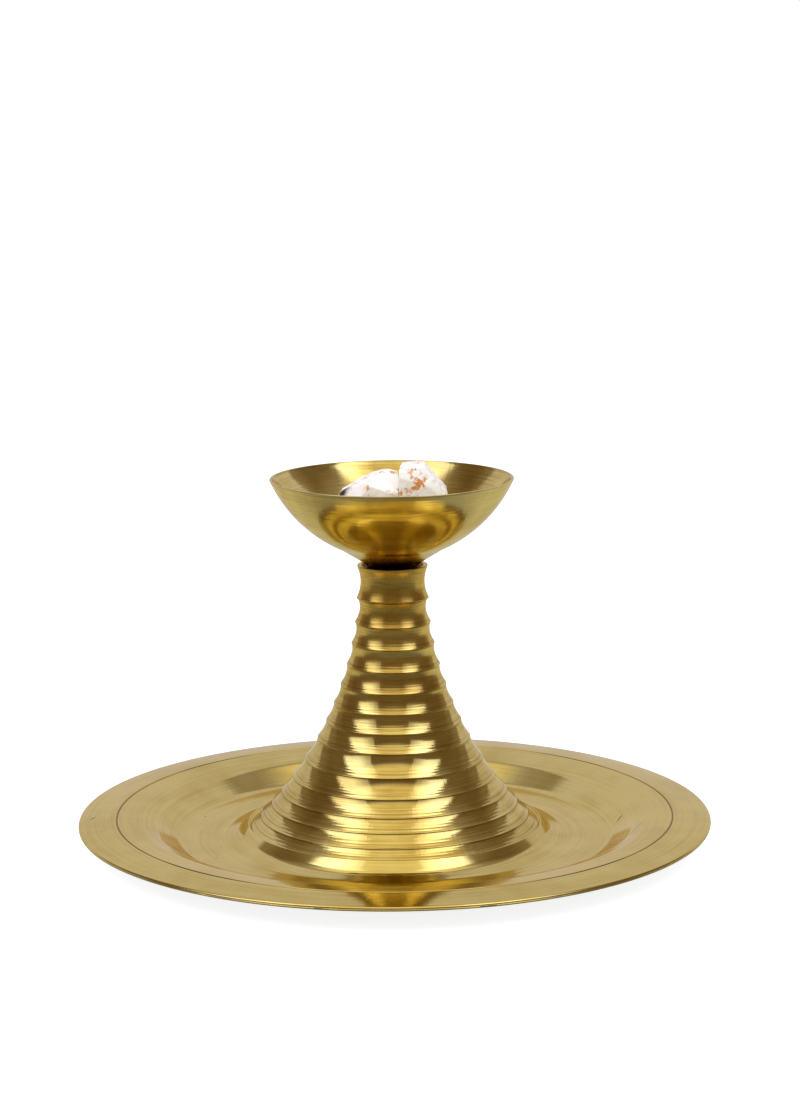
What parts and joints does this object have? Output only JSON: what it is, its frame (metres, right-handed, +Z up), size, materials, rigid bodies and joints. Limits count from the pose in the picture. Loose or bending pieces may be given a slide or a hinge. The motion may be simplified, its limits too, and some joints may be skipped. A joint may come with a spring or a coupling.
{
  "type": "camphor lamp",
  "caption": "Brass camphor lamp: a ribbed hollow stem on a round drip tray carries a round bowl that screws off for cleaning.",
  "frame": {"origin": "centre of the tray's resting face, on the plane that the lamp stands on", "axes": "+Z up along the turning axis of the tray, stem and bowl, +Y away from the viewer, +X to the viewer's right"},
  "size_m": [0.152, 0.152, 0.0912],
  "materials": {
    "spun_brass": "spun and polished, faint circular lines",
    "turned_brass": "turned, fine tool lines along every rib",
    "bowl_brass": "turned and polished",
    "steel_thread": "zinc plated",
    "steel_screw": "zinc plated",
    "steel_washer": "zinc plated",
    "camphor": "broken white crystals, slightly waxy"
  },
  "bodies": {
    "lamp": {"tray": "spun_brass", "stem": "turned_brass", "tie_screw": "steel_screw", "tie_washer": "steel_washer"},
    "stud": {"bowl_stud": "steel_thread"},
    "bowl": {"bowl": "bowl_brass", "camphor_left": "camphor", "camphor_right": "camphor"}
  },
  "joints": [
    {"name": "bowl_rise", "type": "slide", "parent": "lamp", "child": "stud", "axis": [0, 0, 1], "range_m": [0, 0.008]},
    {"name": "bowl_turn", "type": "hinge", "parent": "stud", "child": "bowl", "pos_m": [0, 0, 0.0652], "axis": [0, 0, 1], "range_deg": [0, 2880]}
  ],
  "couplings": [
    {"joint": "bowl_rise", "follows": "bowl_turn", "m_per_rad": 0.00015915}
  ]
}
